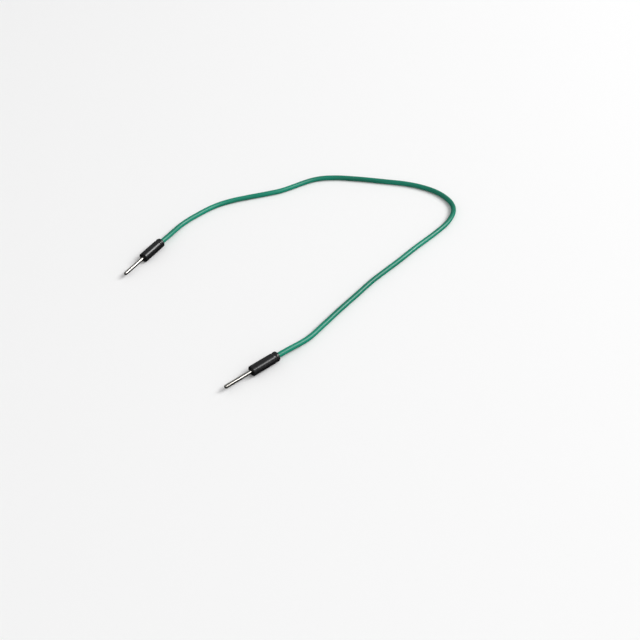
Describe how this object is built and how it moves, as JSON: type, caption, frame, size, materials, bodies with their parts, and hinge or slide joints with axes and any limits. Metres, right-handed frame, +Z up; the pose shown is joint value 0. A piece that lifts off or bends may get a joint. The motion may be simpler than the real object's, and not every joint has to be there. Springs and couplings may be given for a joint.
{
  "type": "breadboard jumper wire",
  "caption": "Flexible insulated wire with a round contact pin in a black moulded housing at each end, for linking points on a breadboard.",
  "frame": {"origin": "on the surface that the wire lies on, at the middle of the box round both moulded ends with their pins", "axes": "+Z up from the surface; +X and +Y lie in it, with the wire's loop towards +X and +Y and both pins pointing towards -X and -Y"},
  "size_m": [0.0865, 0.0829, 0.0025],
  "materials": {
    "green_pvc": "smooth extruded PVC, semi-gloss teal green",
    "copper": "bare copper strands, drawn",
    "nickel_plate": "bright nickel plate on turned brass",
    "black_moulding": "black moulded PVC, satin"
  },
  "bodies": {
    "root": {"insulation": "green_pvc", "conductor": "copper", "contact_pin_a": "nickel_plate", "contact_pin_b": "nickel_plate", "moulded_housing_a": "black_moulding", "moulded_housing_b": "black_moulding"}
  },
  "joints": []
}
